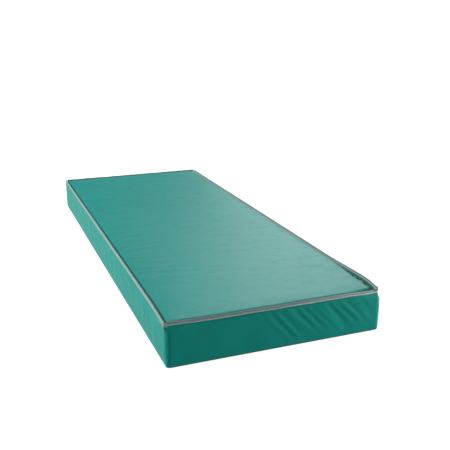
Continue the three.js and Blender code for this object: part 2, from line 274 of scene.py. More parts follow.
def sweep(path, out, section, taper=0.0012):
    """Points and faces of a closed section, given as (outward, up) pairs, carried along a path.
    The section and the outward direction either serve for the whole path, or each of its points
    has its own. The ends are rounded over the length taper."""
    section = np.broadcast_to(section, (len(path), *np.shape(section)[-2:]))
    out = np.broadcast_to(out, path.shape)
    middle = section.mean(1, keepdims=True)
    along = np.gradient(path, axis=0)
    along /= np.linalg.norm(along, axis=1, keepdims=True)

    def end_rings(end, direction):
        """Two smaller sections beyond an end of the path, the outer one first."""
        return [(path[end] + along[end] * direction * taper * reach, out[end],
                 middle[end] + (section[end] - middle[end]) * shrink)
                for reach, shrink in ((0.9, 0.35), (0.5, 0.8))]

    rings = end_rings(0, -1) + list(zip(path, out, section)) + end_rings(-1, 1)[::-1]
    points = np.array([spot + ring[:, :1] * outward + ring[:, 1:] * UP for spot, outward, ring in rings])
    rows, columns = points.shape[:2]
    faces = grid_faces(rows, columns, closed=True)
    faces.append(list(range(columns))[::-1])
    faces.append([(rows - 1) * columns + c for c in range(columns)])
    return points.reshape(-1, 3), faces


def joined(parts):
    """Several (points, faces) pairs as one."""
    points, faces, start = [], [], 0
    for part_points, part_faces in parts:
        points.append(part_points)
        faces += [[start + i for i in face] for face in part_faces]
        start += len(part_points)
    return np.concatenate(points), faces


def level_path(line):
    """A path and its outward directions, both level, from rows of x, y, outward x and outward y."""
    x, y, out_x, out_y = line.T
    return points_from(x, y, 0), points_from(out_x, out_y, 0)


def unit_circle(count):
    angle = np.linspace(0, 2 * math.pi, count, endpoint=False)
    return points_from(np.cos(angle), np.sin(angle))


def distance_along(path):
    """How far along a path each of its points lies."""
    return np.concatenate([[0], np.cumsum(np.linalg.norm(np.diff(path, axis=0), axis=1))])


def settle(obj, pinned, frames, pressure, cap):
    """Lets a sheet find its rest under a light inner pressure. Pinned points stay, and the others
    move by no more than cap."""
    group = obj.vertex_groups.new(name="pinned")
    group.add(np.flatnonzero(pinned).tolist(), 1.0, "REPLACE")
    modifier = obj.modifiers.new("settle", "CLOTH")
    cloth = modifier.settings
    cloth.quality = 6
    cloth.mass = 0.3
    cloth.tension_stiffness = cloth.compression_stiffness = 40
    cloth.shear_stiffness = 10
    cloth.bending_stiffness = 2
    cloth.vertex_group_mass = "pinned"
    cloth.use_pressure = True
    cloth.uniform_pressure_force = pressure
    cloth.effector_weights.gravity = 0
    modifier.collision_settings.use_collision = False
    modifier.point_cache.frame_start = 1
    modifier.point_cache.frame_end = frames
    before = np.zeros(len(obj.data.vertices) * 3)
    obj.data.vertices.foreach_get("co", before)
    scene = bpy.context.scene
    for number in range(1, frames + 1):
        scene.frame_set(number)
    result = obj.evaluated_get(bpy.context.evaluated_depsgraph_get()).data
    after = np.zeros_like(before)
    result.vertices.foreach_get("co", after)
    obj.modifiers.remove(modifier)
    scene.frame_set(1)
    move = (after - before).reshape(-1, 3)
    length = np.linalg.norm(move, axis=1, keepdims=True)
    move *= np.minimum(1, cap / np.maximum(length, 1e-9))
    obj.data.vertices.foreach_set("co", (before.reshape(-1, 3) + move).ravel())
    obj.data.update()


def place(obj, body, slot, *nodes):
    """Puts a piece on its CAD body, in place of CAD nodes. The slot argument is not used."""
    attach(obj, body)
    if nodes:
        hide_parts(*nodes)


# ---------------- material helpers


class Nodes:
    """A short way to write a material's node tree."""

    def __init__(self, name):
        self.material = bpy.data.materials.new(name)
        self.material.use_nodes = True
        self.tree = self.material.node_tree
        self.shader = self.tree.nodes["Principled BSDF"]

    def add(self, kind, inputs=None, **settings):
        node = self.tree.nodes.new(kind)
        for key, value in settings.items():
            setattr(node, key, value)
        for key, value in (inputs or {}).items():
            self.feed(node.inputs[key], value)
        return node

    def feed(self, socket, value):
        if isinstance(value, bpy.types.NodeSocket):
            self.tree.links.new(value, socket)
        else:
            socket.default_value = value

    def set(self, **values):
        for key, value in values.items():
            self.feed(self.shader.inputs[key.replace("_", " ")], value)

    def noise(self, coordinate, scale, detail=3.0, roughness=0.5):
        inputs = {"Vector": coordinate, "Scale": scale, "Detail": detail, "Roughness": roughness}
        return self.add("ShaderNodeTexNoise", inputs).outputs["Fac"]

    def remap(self, value, low, high, to_low=0.0, to_high=1.0):
        inputs = {"Value": value, "From Min": low, "From Max": high, "To Min": to_low, "To Max": to_high}
        return self.add("ShaderNodeMapRange", inputs).outputs["Result"]

    def math(self, operation, first, second=0.0):
        return self.add("ShaderNodeMath", {0: first, 1: second}, operation=operation).outputs["Value"]

    def mix(self, factor, first, second):
        """A mix of two colours: inputs 6 and 7 and output 2 are the node's colour sockets."""
        inputs = {"Factor": factor, 6: first, 7: second}
        return self.add("ShaderNodeMix", inputs, data_type="RGBA").outputs[2]

    def bump(self, height, distance, strength=1.0, normal=None):
        inputs = {"Height": height, "Distance": distance, "Strength": strength}
        if normal is not None:
            inputs["Normal"] = normal
        return self.add("ShaderNodeBump", inputs).outputs["Normal"]

    def position(self):
        return self.add("ShaderNodeTexCoord").outputs["Object"]

    def uv(self):
        return self.add("ShaderNodeTexCoord").outputs["UV"]

    def attribute(self, name):
        return self.add("ShaderNodeAttribute", attribute_name=name).outputs["Fac"]

    def weave(self, coordinate, pitch):
        """Height of a plain weave, from two crossed sets of threads."""
        inputs = {"Vector": coordinate, "Scale": math.pi / (10 * pitch), "Distortion": 0.4,
                  "Detail Scale": 2.0}
        waves = [self.add("ShaderNodeTexWave", inputs, bands_direction=axis) for axis in ("X", "Y")]
        return self.math("MULTIPLY", *(wave.outputs["Fac"] for wave in waves))


def rgb(red, green, blue):
    return (red, green, blue, 1.0)


def scaled(colour, factor):
    """A darker or lighter tone of a colour."""
    return rgb(*(part * factor for part in colour[:3]))


def coated_fabric(name, colour, dark, rough, gloss):
    """Coated knitted fabric: a faint knit under a smooth film, with soft changes of tone. Where the
    margin attribute is set, the colour turns to dark: painted shade.
    """
    n = Nodes(name)
    position = n.position()
    tone = n.noise(position, 3.0, 2.0)
    mottle = n.noise(position, 60.0, 3.0)
    shade = n.math("ADD", n.remap(tone, 0.3, 0.7, 0.0, 0.55), n.remap(mottle, 0.3, 0.7, 0.0, 0.3))
    base = n.mix(shade, colour, scaled(colour, 0.86))
    # Painted shade: the margin attribute mixes in the dark colour, standing in for the shade along the
    # trims and under the raised lip.
    base = n.mix(n.attribute("margin"), base, dark)
    knit = n.bump(n.weave(n.uv(), 0.0016), 0.00012, 0.5)
    film = n.bump(n.noise(position, 90.0, 2.0), 0.0009, 0.2, knit)
    broad = n.bump(n.noise(position, 18.0, 2.0), 0.004, 0.12, film)
    scuffs = n.remap(n.noise(position, 25.0, 6.0, 0.7), 0.5, 0.75, rough, rough + 0.12)
    n.set(Base_Color=base, Roughness=scuffs, Normal=broad, Specular_IOR_Level=gloss)
    return n.material


def woven_tape(name, colour, pitch, rough=0.65):
    """Woven tape, with threads that show and vary a little in tone."""
    n = Nodes(name)
    position = n.position()
    threads = n.weave(position, pitch)
    soil = n.noise(position, 35.0, 4.0)
    dark = scaled(colour, 0.68)
    base = n.mix(n.math("MULTIPLY", threads, 0.6), colour, dark)
    base = n.mix(n.remap(soil, 0.45, 0.8, 0.0, 0.5), base, dark)
    n.set(Base_Color=base, Roughness=rough, Normal=n.bump(threads, 0.00025, 0.8))
    n.set(Sheen_Weight=0.15)
    return n.material


def foam(name, colour, cell=0.0016):
    """Open-cell foam: small dark pores, cut faces a little uneven in tone."""
    n = Nodes(name)
    position = n.position()
    pores = n.add("ShaderNodeTexVoronoi", {"Vector": position, "Scale": 1 / (2.2 * cell)})
    pore = n.remap(pores.outputs["Distance"], 0.05, 0.45)
    grain = n.noise(position, 260.0, 4.0, 0.7)
    tone = n.noise(position, 9.0, 2.0)
    dark = scaled(colour, 0.66)
    warm = rgb(colour[0], colour[1] * 0.95, colour[2] * 0.86)
    base = n.mix(n.remap(tone, 0.35, 0.7), colour, warm)
    base = n.mix(n.math("MULTIPLY", n.math("SUBTRACT", 1.0, pore), 0.8), base, dark)
    height = n.math("ADD", pore, n.math("MULTIPLY", grain, 0.7))
    n.set(Base_Color=base, Roughness=0.95, Normal=n.bump(height, 0.0006, 0.7))
    n.set(Specular_IOR_Level=0.15)
    return n.material


def non_slip(name, colour):
    """Coated fabric of the underside, with rows of small raised grip dots."""
    n = Nodes(name)
    position = n.position()
    dots = n.add("ShaderNodeTexVoronoi", {"Vector": position, "Scale": 125.0, "Randomness": 0.0})
    dot = n.remap(dots.outputs["Distance"], 0.36, 0.24)
    base = n.mix(n.noise(position, 20.0, 4.0), colour, scaled(colour, 0.7))
    base = n.mix(dot, base, scaled(colour, 1.7))
    weave = n.bump(n.weave(position, 0.0011), 0.0002, 0.6)
    n.set(Base_Color=base, Roughness=n.remap(dot, 0, 1, 0.8, 0.55))
    n.set(Normal=n.bump(dot, 0.0006, 0.9, weave))
    return n.material


def worn_metal(name):
    """Plated zinc: fine brushing along its length, with a few duller rubs."""
    n = Nodes(name)
    position = n.position()
    stretched = n.add("ShaderNodeMapping", {"Vector": position, "Scale": (60.0, 900.0, 900.0)})
    brush = n.noise(stretched.outputs["Vector"], 1.0, 3.0)
    rubs = n.noise(position, 300.0, 4.0)
    base = n.mix(n.remap(rubs, 0.4, 0.7), rgb(0.62, 0.62, 0.61), rgb(0.40, 0.39, 0.37))
    n.set(Base_Color=base, Metallic=1.0, Roughness=n.remap(rubs, 0.35, 0.7, 0.26, 0.5))
    n.set(Normal=n.bump(brush, 0.00005, 0.5))
    return n.material


def studio_floor(name):
    """A white floor that glows, a little more where it is too far away for the lights."""
    n = Nodes(name)
    position = n.position()
    tone = n.noise(position, 0.6, 2.0)
    distance = n.add("ShaderNodeVectorMath", {0: position}, operation="LENGTH").outputs["Value"]
    n.set(Base_Color=n.mix(tone, rgb(0.13, 0.13, 0.129), rgb(0.12, 0.12, 0.119)), Roughness=0.9)
    n.set(Emission_Color=rgb(1.0, 1.0, 0.99), Emission_Strength=n.remap(distance, 3.0, 9.0, 0.92, 0.98))
    n.set(Specular_IOR_Level=0.1)
    return n.material


def make_materials():
    # painted_shade_colour is painted shade: the near-black green given to the top panel along its trims
    # and under the raised lip.
    painted_shade_colour = rgb(0.001, 0.042, 0.034)
    return {
        "cover": coated_fabric("cover_fabric", rgb(0.001, 0.106, 0.092), painted_shade_colour, 0.43, 0.085),
        # Painted light: the borders get a lighter, less glossy copy of the same cover fabric, so that the
        # sides look as they do under the light.
        "side": coated_fabric("cover_fabric_side_lightened", rgb(0.001, 0.119, 0.098), painted_shade_colour, 0.46, 0.040),
        "backing": woven_tape("cover_backing", rgb(0.085, 0.175, 0.160), 0.0010, 0.8),
        "piping": woven_tape("piping_tape", rgb(0.080, 0.135, 0.130), 0.0009, 0.6),
        "binding": woven_tape("binding_tape", rgb(0.034, 0.063, 0.060), 0.0008),
        "thread": woven_tape("thread", rgb(0.09, 0.13, 0.125), 0.0004, 0.6),
        "zip": woven_tape("zip_tape", rgb(0.006, 0.13, 0.10), 0.0007),
        "coil": woven_tape("zip_coil", rgb(0.02, 0.20, 0.16), 0.0009, 0.35),
        "base": non_slip("base_fabric", rgb(0.010, 0.095, 0.075)),
        "metal": worn_metal("zip_metal"),
        "firm": foam("firm_foam", rgb(0.135, 0.165, 0.185)),
        "rail": foam("rail_foam", rgb(0.215, 0.180, 0.105)),
        "soft": foam("soft_foam", rgb(0.265, 0.235, 0.175), 0.0013),
    }


# ---------------- cover


def pull_lines(x, y):
    """Fine creases that run in from the left-hand seam where the fabric is drawn."""
    rng = np.random.default_rng(11)
    inward = x + PANEL_X
    height = np.zeros_like(x)
    place_y = 0.52
    while place_y > -0.68:
        length = rng.uniform(0.09, 0.22)
        width = rng.uniform(0.008, 0.013)
        slant = rng.uniform(-0.25, 0.05)
        across = (y - place_y - slant * inward) / width
        window = (1 - np.exp(-inward / 0.012)) * bell(inward, length)
        height += rng.uniform(0.5, 1.0) * window * (bell(across, 1) - 0.7 * bell(across - 1.6, 1))
        place_y -= rng.uniform(0.025, 0.062)
    return height * PULL_LINE_HEIGHT


def right_creases(x, y):
    """A few creases of the top panel near its right-hand side and the lip."""
    height = 0.9 * crease(x, y, (0.16, -0.60), -0.35, 0.20, 0.016)
    height += 0.8 * crease(x, y, (0.20, -0.70), -0.25, 0.17, 0.013)
    height += 0.7 * crease(x, y, (0.25, -0.86), 0.25, 0.13, 0.012)
    rng = np.random.default_rng(5)
    for place_y in np.arange(-0.52, 0.9, 0.085):
        start = (0.365, place_y + rng.uniform(-0.03, 0.03))
        angle = math.pi + rng.uniform(-0.5, 0.5)
        height += rng.uniform(0.2, 0.7) * crease(x, y, start, angle, rng.uniform(0.04, 0.11), 0.009)
    return height * TOP_CREASE_HEIGHT


def lip_wall(d, y):
    """Near the foot end the panel's right-hand margin is gathered up against the raised trim."""
    rise = lip_rise(y)
    share = rise / LIP_RISE
    # edge is how far the trough reaches, and also the width of the painted shade strip under the lip,
    # wavy along its inner side.
    edge = 0.016 * share * (1 + 0.30 * np.sin(2 * math.pi * y / 0.043 + 1.2 * np.sin(y * 23)))
    wall = rise * bell(d, 0.0045)
    trough = -0.0065 * share * (1 - smoothstep(d, edge - 0.003, edge + 0.003)) * (1 - bell(d, 0.004))
    return wall + trough, edge


def make_top(mat):
    """The top panel. Its mesh is finer near the seams, and finest along the gathered margin."""
    edge = (0, 0.0012, 0.0025, 0.004, 0.006, 0.009, 0.0135)
    fine = (0, 0.0010, 0.0020, 0.0030, 0.0040, 0.0052, 0.0066, 0.0082, 0.0100, 0.0120, 0.0140,
            0.0160, 0.0180, 0.0200, 0.0225, 0.0260)
    ys = spaced(PANEL_Y, edge, CLOTH_STEP)
    xs = np.concatenate([spaced(PANEL_X, edge, CLOTH_STEP)[: -len(edge) - 1],
                         PANEL_X - np.array(fine)[::-1]])
    x, y = np.meshgrid(xs, ys)
    from_side = [x + PANEL_X, PANEL_X - x, y + PANEL_Y, PANEL_Y - y]
    crown = 1.0
    for d, name in zip(from_side, ("left", "right", "foot", "head")):
        crown = crown * (1 - np.exp(-d / PANEL_SOFTNESS[name]))
    lip, lip_shade_width = lip_wall(from_side[1], y)
    z = PANEL_EDGE_Z + PANEL_CROWN * crown + lip + foot_dip(x) * bell(from_side[2], 0.012)
    inside = smoothstep(np.minimum.reduce(from_side), 0.0, 0.03)
    z += inside * (pull_lines(x, y) + right_creases(x, y))
    z += inside * 0.0003 * ripples(x, y, 3, 0.16) + inside * 0.0001 * ripples(x, y, 8, 0.045)
    points = points_from(x, y, z)
    obj = make_mesh("cover_top", draw_corners(points), grid_faces(*x.shape), mat["cover"], mat["backing"],
                    uv=points[..., :2])

    # Painted shade: the margin attribute marks a strip along each trim, widest at the left and widening
    # under the raised lip. There the colour turns dark in place of the shade in the groove beside the
    # binding and in the gathered band under the lip.
    shade_widths = (0.0066, 0.0026 + lip_shade_width, 0.0022, 0.0024)
    margin = np.maximum.reduce([1 - smoothstep(d, w, w + 0.0022) for d, w in zip(from_side, shade_widths)])
    attribute = obj.data.attributes.new("margin", "FLOAT", "POINT")
    attribute.data.foreach_set("value", margin.astype(np.float32).ravel())

    pinned = np.minimum.reduce(from_side) < 0.016
    settle(obj, pinned.ravel(), frames=12, pressure=0.25, cap=0.002)
    solidify(obj, FABRIC, inner_material=1)
    place(obj, "upper_cover", "cover_fabric", "top_panel")


def foot_folds(s, z):
    """The foot border is taut at the left and hangs in slanting folds towards the right."""
    rng = np.random.default_rng(21)
    height = np.zeros_like(s)
    start = -0.062
    while start < 0.34:
        angle = -math.radians(rng.uniform(40, 48))
        length = rng.uniform(0.13, 0.18)
        width = rng.uniform(0.0050, 0.0095)
        strength = rng.uniform(0.45, 1.0)
        height += strength * crease(s, z, (start, 0.135), angle, length, width)
        start += rng.uniform(0.022, 0.050)
    return height * FOOT_FOLD_HEIGHT + 0.0005 * ripples(s, z, 4, 0.11)


def long_folds(seed):
    """Shallow slanting folds of a long border."""
    def folds(s, z):
        rng = np.random.default_rng(seed)
        height = np.zeros_like(s)
        place_s = -0.92
        while place_s < 0.92:
            angle = -math.radians(rng.uniform(55, 80))
            start = (place_s, rng.uniform(0.105, 0.134))
            crest = crease(s, z, start, angle, rng.uniform(0.07, 0.13), rng.uniform(0.009, 0.02))
            height += rng.uniform(0.2, 0.9) * crest
            place_s += rng.uniform(0.035, 0.11)
        return height * LONG_FOLD_HEIGHT + 0.0008 * ripples(s, z, seed + 1, 0.14)
    return folds


def left_folds(s, z):
    """As the other long side, with one deeper pucker just under the trim."""
    pucker = crease(s, z, (-0.014, 0.137), -math.radians(82), 0.045, 0.0045)
    return long_folds(31)(s, z) - PUCKER_DEPTH * pucker


def border_rows(bottom, hem):
    """Heights and insets of a border's rows. A hem is turned up behind the lower edge."""
    rows = []
    if hem:
        rows += [(bottom + 0.0085, 0.0030), (bottom + 0.0030, 0.0030), (bottom + 0.0008, 0.0026),
                 (bottom, 0.0018), (bottom + 0.0006, 0.0009), (bottom + 0.0022, 0.0003)]
        bottom += 0.0022
    count = round((BORDER_TOP - 0.008 - bottom) / 0.0065)
    for z in np.linspace(bottom, BORDER_TOP - 0.008, count + 1)[1 if hem else 0:]:
        rows.append((z, 0.0))
    rows += [(BORDER_TOP - z, inset) for z, inset in
             ((0.0055, 0.0001), (0.0034, 0.0005), (0.0018, 0.0012), (0.0006, 0.0022), (0.0, 0.0032))]
    return np.array(rows)


def border_grid(side, bottom, hem, folds, rise):
    """Points of a border, row by row, and its place along the side and height, both in metres."""
    rows = border_rows(bottom, hem)
    z, inset = rows[:, :1], rows[:, 1:]
    straight = np.linspace(-1, 1, round(2 * side["half"] / CLOTH_STEP) + 1)
    bend = np.radians(np.linspace(45, 0, CORNER_COLUMNS, endpoint=False))
    t = np.concatenate([-np.ones(CORNER_COLUMNS), straight, np.ones(CORNER_COLUMNS)])[None]
    phi = np.concatenate([-bend, np.zeros(len(straight)), bend[::-1]])[None]
    left_hand = np.sign(t) * side["along"][0] + side["out"][0] < 0
    radius = CORNER_RADIUS - 0.010 * bell(BORDER_TOP - z, 0.012)
    radius = radius - np.where(left_hand, 0.008, 0) * bell(z - BORDER_BOTTOM, 0.02)
    s = t * side["half"] + phi * CORNER_RADIUS
    end = smoothstep(side["half"] - np.abs(t * side["half"]), -0.001, 0.05)
    between = np.clip((z - bottom) / (BORDER_TOP - bottom), 0, 1)
    bulge = 0.0016 * np.sin(math.pi * between) ** 0.6
    free = smoothstep(between, 0.0, 0.12) * smoothstep(1 - between, 0, 0.06)
    loose = np.where(inset > 0.0008, 0, free)
    grid_s, grid_z = np.broadcast_arrays(s, z)
    outward = -inset + bulge + folds(grid_s, grid_z) * loose * end
    a = t * (side["half"] - radius) + (radius + outward) * np.sin(phi)
    o = side["depth"] - radius + (radius + outward) * np.cos(phi)
    height = grid_z
    if rise is not None:
        height = height + rise(a) * smoothstep(z, 0.105, BORDER_TOP)
    x = a * side["along"][0] + o * side["out"][0]
    y = a * side["along"][1] + o * side["out"][1]
    return draw_corners(points_from(x, y, height)), grid_s, grid_z


def make_border(name, mat, bottom, folds, hem=True):
    """One border, held along its seams, its hem and its corners."""
    side = SIDES[name]
    points, s, z = border_grid(side, bottom, hem, folds, LIFTS.get(name))
    obj = make_mesh(f"cover_{name}", points, grid_faces(*s.shape), mat["side"], mat["backing"],
                    uv=points_from(s, z))
    held = np.zeros(s.shape, bool)
    held[: 7 if hem else 2] = True
    held[-6:] = True
    held[:, : CORNER_COLUMNS + 1] = True
    held[:, -CORNER_COLUMNS - 1:] = True
    settle(obj, held.ravel(), frames=10, pressure=0.6, cap=0.0012)
    solidify(obj, FABRIC, inner_material=1)
    place(obj, "upper_cover", "cover_fabric", f"border_{name}")


def trim_path(name, end, step=0.004):
    """A line along one side, at the trim's inset, and the outward direction at each of its points.
    The foot end's trim runs on under the raised end of the right-hand one."""
    side = SIDES[name]
    last = end + LIP_RISE if name == "foot" else end
    a = np.linspace(-end, last, round((end + last) / step) + 1)
    o = side["depth"] - TRIM_INSET
    path = points_from(a * side["along"][0] + o * side["out"][0],
                       a * side["along"][1] + o * side["out"][1], 0.0)
    if name in LIFTS:
        path[:, 2] += LIFTS[name](a)
    return a, path, points_from(*side["out"], 0 * a)


def make_piping(name, mat, end):
    """Round bead, drawn in a little at each stitch, with the slight waver of a sewn edge."""
    a, path, out = trim_path(name, end, 0.0025)
    pucker = 0.00014 * np.cos(2 * math.pi * a / 0.010) + 0.00010 * ripples(a, 0, 6, 0.05)
    path[:, 2] += BEAD_Z + 0.00035 * ripples(a, 0, 9, 0.19)
    section = unit_circle(12)[None] * (BEAD_RADIUS - 0.00015 + pucker)[:, None, None]
    points, faces = sweep(path, out, section)
    obj = make_mesh(f"piping_bead_{name}", draw_corners(points), faces, mat["piping"], sharp_angle=60)
    place(obj, "upper_cover", "piping", f"piping_{name}")


def make_binding(name, mat, end):
    """Folded tape that stands above the bead: two plies under a rounded fold."""
    a, path, out = trim_path(name, end, 0.005)
    half = BINDING_THICKNESS / 2
    arc = np.linspace(0, math.pi, 7)
    top = points_from(half * np.cos(arc), BINDING_TOP - half + half * np.sin(arc))
    foot = np.array([(-half * 1.25, BINDING_BOTTOM), (0, BINDING_BOTTOM + 0.0004),
                     (half * 1.25, BINDING_BOTTOM)])
    section = np.concatenate([top, foot])
    lean = 0.0004 * ripples(a, 0, 14, 0.12)
    sections = np.repeat(section[None], len(path), 0)
    share = (section[:, 1] - BINDING_BOTTOM) / (BINDING_TOP - BINDING_BOTTOM)
    sections[:, :, 0] += lean[:, None] * share[None]
    path[:, 2] += (0.0007 if name == "head" else 0.0002) * ripples(a, 0, 9, 0.05)
    points, faces = sweep(path, out, sections)
    obj = make_mesh(f"binding_tape_{name}", draw_corners(points), faces, mat["binding"], sharp_angle=50)
    place(obj, "upper_cover", "binding", f"binding_{name}")


def make_seam_allowance(name, mat, end):
    """Inside the cover: the turned-in edges of top panel and border, which lap round the bead."""
    section = np.array([(0.0092, 0.1419), (0.0081, 0.1411), (0.0079, 0.1400), (0.0074, 0.1388),
                        (0.0064, 0.1377), (0.0050, 0.1366), (0.0040, 0.1352), (0.0036, 0.1335),
                        (0.0036, 0.1315)])
    inset, z = section[:, :1, None], section[:, 1:, None]
    a, path, out = trim_path(name, end, 0.006)
    flutter = 0.0005 * ripples(a, 0, 23, 0.06) * np.linspace(0, 1, len(section))[:, None]
    points = path[None] + out[None] * (TRIM_INSET - inset) + UP * z
    points = points - out[None] * (flutter + 0.0003)[..., None]
    obj = make_mesh(f"seam_allowance_{name}", draw_corners(points), grid_faces(*points.shape[:2]),
                    mat["backing"], uv=points_from(a, z[..., 0]))
    solidify(obj, INNER_PLY)
    place(obj, "upper_cover", "cover_fabric")


def stitch_row(path, out, face, height, pitch=0.0052, length=0.0038, thickness=0.00038):
    """A row of stitches on a face that lies this far out from a path, at this height."""
    reach = distance_along(path)
    places = np.arange(pitch, reach[-1] - pitch, pitch)
    centre = np.stack([np.interp(places, reach, path[:, i]) for i in range(3)], -1)
    outward = np.stack([np.interp(places, reach, out[:, i]) for i in range(3)], -1)
    along = np.stack([np.interp(places, reach, np.gradient(path[:, i])) for i in range(3)], -1)
    along /= np.linalg.norm(along, axis=1, keepdims=True)
    centre = centre + outward * face + UP * height
    points = []
    for t, fat, sink in ((-0.5, 0.4, 0.0004), (-0.25, 1, 0), (0.25, 1, 0), (0.5, 0.4, 0.0004)):
        for c, s in unit_circle(5):
            points.append(centre + along * (t * length) + UP * (thickness * fat * c)
                          + outward * (thickness * fat * s - sink))
    faces = grid_faces(4, 5, closed=True) + [[4, 3, 2, 1, 0], [15, 16, 17, 18, 19]]
    return joined([(stitch, faces) for stitch in np.stack(points, 1)])


def make_corner_tab(mat):
    """The end of the left-hand tape, lapped round the corner at the foot end over both trims."""
    radius, thickness = 0.005, 0.0008
    x, y = -HALF_X + radius, -HALF_Y + radius
    turn = np.linspace(0, math.pi / 2, 9)
    reach = np.linspace(0.007, 0, 5, endpoint=False)
    path, out = level_path(np.concatenate([
        points_from(x - radius, y + reach, -1, 0),
        points_from(x - radius * np.cos(turn), y - radius * np.sin(turn), -np.cos(turn), -np.sin(turn)),
        points_from(x + reach[::-1] * 0.8, y - radius, 0, -1),
    ]))
    low, high = BEAD_Z - BEAD_RADIUS - 0.0012, BINDING_TOP - 0.0015
    z = np.linspace(low, high, 7)
    lean = 0.0010 * np.sin(np.linspace(0, math.pi, 7)) ** 2 - 0.0002
    section = np.concatenate([points_from(lean + thickness, z), points_from(lean, z)[::-1]])
    points, faces = sweep(path, out, section, taper=0.0006)
    obj = make_mesh("corner_tab", draw_corners(points), faces, mat["piping"], sharp_angle=60)
    place(obj, "upper_cover", "piping")


def make_trim_stitches(mat):
    """The row that holds the binding, on both of its faces."""
    parts = []
    for name, end in TRIM_ENDS.items():
        _, path, out = trim_path(name, end - 0.004, 0.01)
        for side in (1, -1):
            parts.append(stitch_row(path, out * side, BINDING_THICKNESS / 2, BINDING_BOTTOM + 0.0006))
    points, faces = joined(parts)
    obj = make_mesh("binding_stitches", draw_corners(points), faces, mat["thread"])
    place(obj, "upper_cover", "binding")


def make_fold_seam(mat):
    """The uncut seam on the right-hand side, which the opened cover turns about."""
    profile = np.array([(0.0002, 0.0065), (0.0009, 0.0085), (0.0011, 0.0105), (0.0007, 0.0120),
                        (0.0011, 0.0135), (0.0009, 0.0155), (0.0002, 0.0175)])
    y = np.linspace(-HALF_Y + 0.020, HALF_Y - 0.020, 260)
    wave = 0.00012 * ripples(y, 0, 17, 0.06)
    points = points_from(HALF_X + profile[:, :1] + wave, y, profile[:, 1:])
    obj = make_mesh("fold_seam", points, grid_faces(*points.shape[:2]), mat["side"], uv=points[..., 1:])
    solidify(obj, FABRIC)
    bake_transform(obj)


def round_plan(x, y, half_x, half_y, radius):
    """Squeezes the corners of a rectangle's points into round ones."""
    over_x = np.maximum(np.abs(x) - (half_x - radius), 0)
    over_y = np.maximum(np.abs(y) - (half_y - radius), 0)
    squeeze = np.maximum(over_x, over_y) / np.maximum(np.hypot(over_x, over_y), 1e-9)
    squeeze = np.where((over_x > 0) & (over_y > 0), squeeze, 1)
    return x - np.sign(x) * over_x * (1 - squeeze), y - np.sign(y) * over_y * (1 - squeeze)


def make_base(mat):
    """Underside of the cover, turned up on the right to the fold line and rolled at the other edges."""
    x0, x1, y1 = -HALF_X + BASE_INSET, HALF_X - 0.0006, HALF_Y - BASE_INSET
    corner = CORNER_RADIUS * np.linspace(0, 1, 7)
    middle_x = np.linspace(x0 + CORNER_RADIUS, x1 - CORNER_RADIUS, 78)
    middle_y = np.linspace(-y1 + CORNER_RADIUS, y1 - CORNER_RADIUS, 197)
    across = np.concatenate([x0 + corner[:-1], middle_x, x1 - corner[:-1][::-1]])
    along = np.concatenate([-y1 + corner[:-1], middle_y, y1 - corner[:-1][::-1]])
    x, y = np.meshgrid(across, along)
    soft = bell(x - x0, 0.004) + bell(y1 - np.abs(y), 0.004)
    z = BASE_TOP + 0.00012 * np.clip(soft, 0, 1)
    side_x = x1 + 0.0004
    turn = np.array([(side_x - 0.0002, 0.0016), (side_x, 0.0040), (side_x, 0.0080), (side_x, 0.0115)])
    x = np.concatenate([x, np.repeat(turn[None, :, 0], len(along), 0)], 1)
    z = np.concatenate([z, np.repeat(turn[None, :, 1], len(along), 0)], 1)
    y = np.repeat(along[:, None], x.shape[1], 1)
    x, y = round_plan(x, y, side_x, y1, CORNER_RADIUS)
    points = points_from(x, y, z)
    obj = make_mesh("base_sheet", points, grid_faces(*x.shape, flip=True), mat["base"],
                    uv=points[..., :2])
    solidify(obj, BASE_THICKNESS, offset=1)
    place(obj, "core_and_base", "base_fabric", "base_panel")


# ---------------- zip


def zip_path(inset, radius, step):
    """The zip's line in plan round the head, left and foot sides, and its outward directions."""
    x, y = HALF_X - inset, HALF_Y - inset
    across = np.linspace(CHAIN_END_X, -x + radius, round((CHAIN_END_X + x) / step))
    turn = np.linspace(0, math.pi / 2, 7)[1:-1]
    along = np.linspace(y - radius, -y + radius, round(2 * y / step))
    head = np.concatenate([
        points_from(across, y, 0, 1),
        points_from(-x + radius - radius * np.sin(turn), y - radius + radius * np.cos(turn),
                    -np.sin(turn), np.cos(turn)),
    ])
    foot = head[::-1] * [1, -1, 1, -1]
    return level_path(np.concatenate([head, points_from(-x, along, -1, 0), foot]))


def coil_row(side):
    """A coil row above (side 1) or below (side -1) the seam: a rounded bar, drawn in between turns."""
    path, out = zip_path(COIL_INSET + COIL_DEPTH / 2, 0.0055, COIL_PITCH / COIL_STEPS)
    turn = 0.5 + 0.5 * np.cos(2 * math.pi * np.arange(len(path)) / COIL_STEPS)
    ring = unit_circle(8) * [COIL_DEPTH / 2, COIL_HEIGHT / 2]
    section = ring[None] * (0.72 + 0.26 * turn)[:, None, None]
    section[:, :, 1] += SEAM_Z + side * (COIL_GAP + COIL_HEIGHT / 2)
    return sweep(path, out, section, taper=0.0004)


def tape_strip(side, flange_z, flange_inset):
    """A tape, from its edge behind the coil row to the flange, which is turned outward. The section's
    points are taken in the order that makes the faces look out on either side of the seam."""
    path, out = zip_path(TAPE_INSET + TAPE_THICKNESS / 2, 0.0045, 0.01)
    half, reach = TAPE_THICKNESS / 2, TAPE_INSET - flange_inset
    edge, inner_z = SEAM_Z + side * (COIL_GAP + TAPE_LAP), flange_z - side * TAPE_THICKNESS
    line = [(half, edge), (half, inner_z), (reach, inner_z), (reach, flange_z), (-half, flange_z),
            (-half, edge)]
    return sweep(path, out, line[::side], taper=0.0002)


